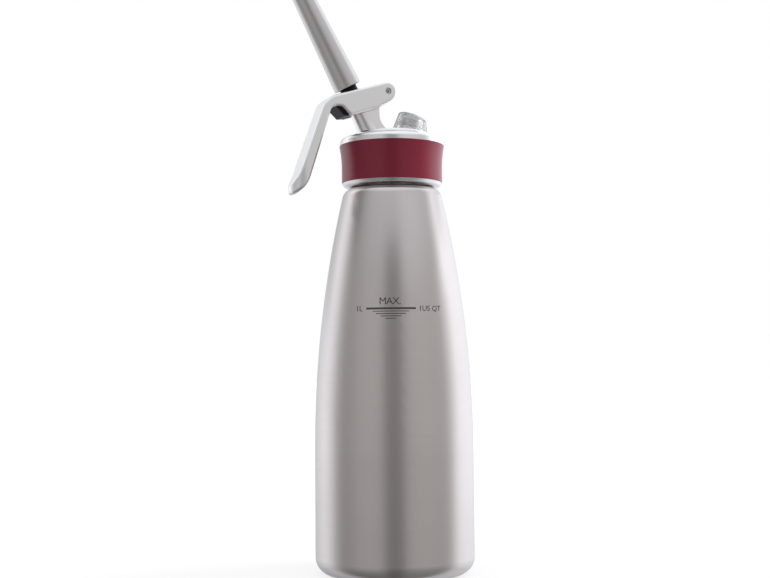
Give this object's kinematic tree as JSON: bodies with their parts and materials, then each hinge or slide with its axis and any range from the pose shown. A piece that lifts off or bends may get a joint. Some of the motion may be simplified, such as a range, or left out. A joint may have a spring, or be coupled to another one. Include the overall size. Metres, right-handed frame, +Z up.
{
  "type": "whipped cream dispenser",
  "caption": "Steel pressure bottle with a screw-on cast head, soft grip band, squeeze lever, sprung valve, long leaning nozzle and a capped gas charger stud.",
  "frame": {"origin": "on the bottle's axis at the surface it stands on", "axes": "+Z up, +X towards the charger stud, the lever's handle and the nozzle lean towards -X, the lever's pin runs along Y"},
  "size_m": [0.119, 0.0958, 0.3659],
  "materials": {
    "bottle_steel": "brushed round the bottle",
    "cast_aluminium": "satin",
    "lever_steel": "satin",
    "nozzle_steel": "satin",
    "turned_steel": "turned",
    "grip_rubber": "soft matt, dark wine red",
    "gasket_rubber": "matt",
    "black_plastic": "fine satin",
    "cap_plastic": "frosted, slightly see-through grey"
  },
  "bodies": {
    "bottle": {"bottle_shell": "bottle_steel", "neck_ring": "bottle_steel"},
    "gasket": {"head_gasket": "gasket_rubber"},
    "head": {"head_casting": "cast_aluminium", "grip_band": "grip_rubber", "valve_bush": "black_plastic", "stem_seal": "gasket_rubber", "charger_stud": "turned_steel", "piercing_pin": "turned_steel", "charger_seal": "gasket_rubber", "gas_valve": "gasket_rubber", "lever_pin": "turned_steel", "pivot_washers": "black_plastic"},
    "lever": {"lever": "lever_steel", "lever_pad": "black_plastic"},
    "valve": {"valve_stem": "turned_steel", "valve_seal": "gasket_rubber", "valve_washer": "turned_steel", "valve_nut": "turned_steel", "tip_adaptor": "black_plastic", "valve_spring": "turned_steel"},
    "nozzle_ring": {"nozzle_seal": "gasket_rubber"},
    "nozzle": {"nozzle_tube": "nozzle_steel", "nozzle_socket": "black_plastic"},
    "cap": {"charger_cap": "cap_plastic"}
  },
  "joints": [
    {"name": "head_climb", "type": "slide", "parent": "bottle", "child": "gasket", "axis": [0, 0, 1], "range_m": [0, 0.0081]},
    {"name": "head_turn", "type": "hinge", "parent": "gasket", "child": "head", "pos_m": [0, 0, 0.2412], "axis": [0, 0, 1], "range_deg": [0, 720]},
    {"name": "lever_press", "type": "hinge", "parent": "head", "child": "lever", "pos_m": [-0.00561, 0, 0.29035], "axis": [0, 1, 0], "range_deg": [-9, 0], "stiffness_Nm_per_rad": 0.72, "springref_deg": 12.03},
    {"name": "valve_travel", "type": "slide", "parent": "head", "child": "valve", "axis": [-0.4695, 0, 0.8829], "range_m": [-0.0031, 0], "deforming": ["valve_spring"]},
    {"name": "nozzle_climb", "type": "slide", "parent": "valve", "child": "nozzle_ring", "axis": [-0.4695, 0, 0.8829], "range_m": [0, 0.0046]},
    {"name": "nozzle_turn", "type": "hinge", "parent": "nozzle_ring", "child": "nozzle", "pos_m": [-0.02843, 0, 0.29266], "axis": [-0.4695, 0, 0.8829], "range_deg": [0, 1080]},
    {"name": "cap_pull", "type": "slide", "parent": "head", "child": "cap", "axis": [0.3746, 0, 0.9272], "range_m": [0, 0.015]}
  ],
  "couplings": [
    {"joint": "head_climb", "follows": "head_turn", "m_per_rad": 0.00063662},
    {"joint": "valve_travel", "follows": "lever_press", "m_per_rad": 0.01906},
    {"joint": "nozzle_climb", "follows": "nozzle_turn", "m_per_rad": 0.00023873}
  ]
}
